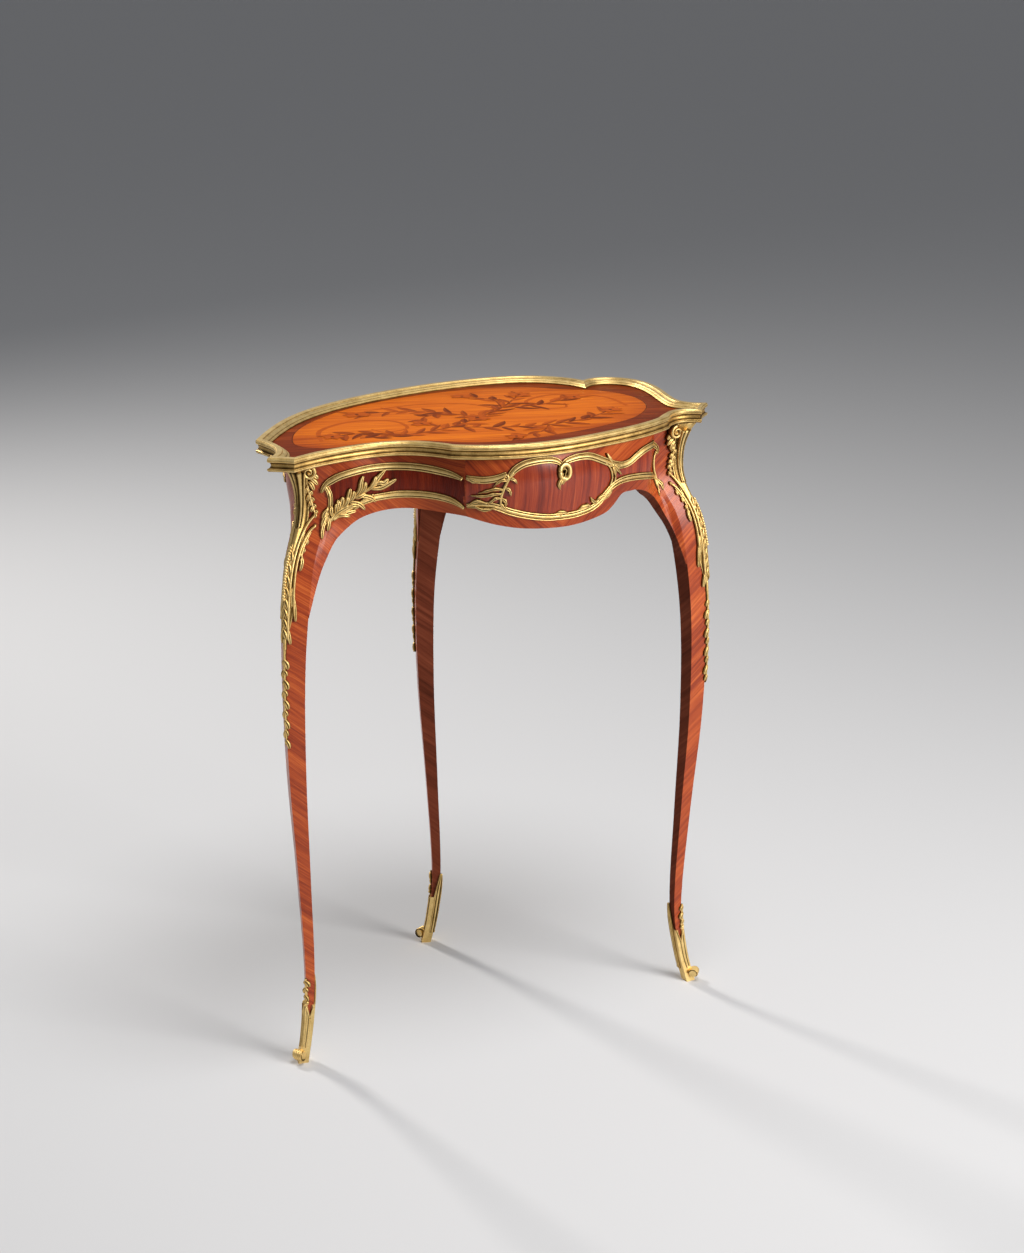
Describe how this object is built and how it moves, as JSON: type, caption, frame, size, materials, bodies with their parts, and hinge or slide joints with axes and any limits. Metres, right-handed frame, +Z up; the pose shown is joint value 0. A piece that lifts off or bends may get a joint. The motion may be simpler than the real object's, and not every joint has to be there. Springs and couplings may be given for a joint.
{
  "type": "work table",
  "caption": "Three-legged rococo-style work table with a shaped, veneered case, a hinged marquetry lid over a shallow well, cabriole legs and gilt-bronze mounts.",
  "frame": {"origin": "middle of the bounding box in plan, on the floor", "axes": "+Z up, -Y towards the front with the keyhole, +X to the right as seen from the front"},
  "size_m": [0.573, 0.3522, 0.75],
  "materials": {
    "gilt_bronze": "chased and gilded, darker in the recesses",
    "leg_veneer": "polished veneer",
    "case_veneer": "polished veneer",
    "border_veneer": "polished veneer",
    "field_veneer": "polished marquetry",
    "carcase_wood": "plain oiled oak",
    "brass_hardware": "plain brass",
    "steel_hardware": "dull steel"
  },
  "bodies": {
    "case": {"apron_back": "case_veneer", "apron_front": "case_veneer", "apron_left": "case_veneer", "apron_right": "case_veneer", "apron_scoop": "case_veneer", "bottom_board": "carcase_wood", "cartouche_leaves": "gilt_bronze", "cartouche_lower": "gilt_bronze", "cartouche_side_left": "gilt_bronze", "cartouche_side_right": "gilt_bronze", "cartouche_upper_left": "gilt_bronze", "cartouche_upper_right": "gilt_bronze", "case_hinge_screws": "steel_hardware", "chute_back": "gilt_bronze", "chute_left": "gilt_bronze", "chute_right": "gilt_bronze", "frame_back": "gilt_bronze", "frame_left": "gilt_bronze", "frame_right": "gilt_bronze", "hinge_leaf_case_left": "brass_hardware", "hinge_leaf_case_right": "brass_hardware", "hinge_pin_left": "brass_hardware", "hinge_pin_right": "brass_hardware", "keyhole_liner": "brass_hardware", "keyhole_loop": "gilt_bronze", "ledger_back": "carcase_wood", "ledger_front": "carcase_wood", "ledger_left": "carcase_wood", "ledger_right": "carcase_wood", "ledger_scoop": "carcase_wood", "leg_back": "leg_veneer", "leg_left": "leg_veneer", "leg_right": "leg_veneer", "lock_case": "brass_hardware", "lock_screws": "steel_hardware", "sabot_back": "gilt_bronze", "sabot_left": "gilt_bronze", "sabot_right": "gilt_bronze", "scoop_frame_bottom": "gilt_bronze", "scoop_frame_top": "gilt_bronze", "scoop_spray": "gilt_bronze"},
    "lid": {"hinge_leaf_lid_left": "brass_hardware", "hinge_leaf_lid_right": "brass_hardware", "lid_board": "carcase_wood", "lid_hinge_screws": "steel_hardware", "link_plate": "brass_hardware", "link_plate_screws": "steel_hardware", "lock_staple": "brass_hardware", "marquetry_field": "field_veneer", "rim_back": "gilt_bronze", "rim_front": "gilt_bronze", "rim_left_ear": "gilt_bronze", "rim_pins": "gilt_bronze", "rim_right": "gilt_bronze", "rim_right_ear": "gilt_bronze", "top_border_veneer": "border_veneer"},
    "bolt": {"lock_bolt": "steel_hardware"}
  },
  "joints": [
    {"name": "lid_hinge", "type": "hinge", "parent": "case", "child": "lid", "pos_m": [0.088, 0.17235, 0.734], "axis": [-1, 0, 0], "range_deg": [0, 95]},
    {"name": "bolt_slide", "type": "slide", "parent": "case", "child": "bolt", "axis": [1, 0, 0], "range_m": [0, 0.007]}
  ]
}
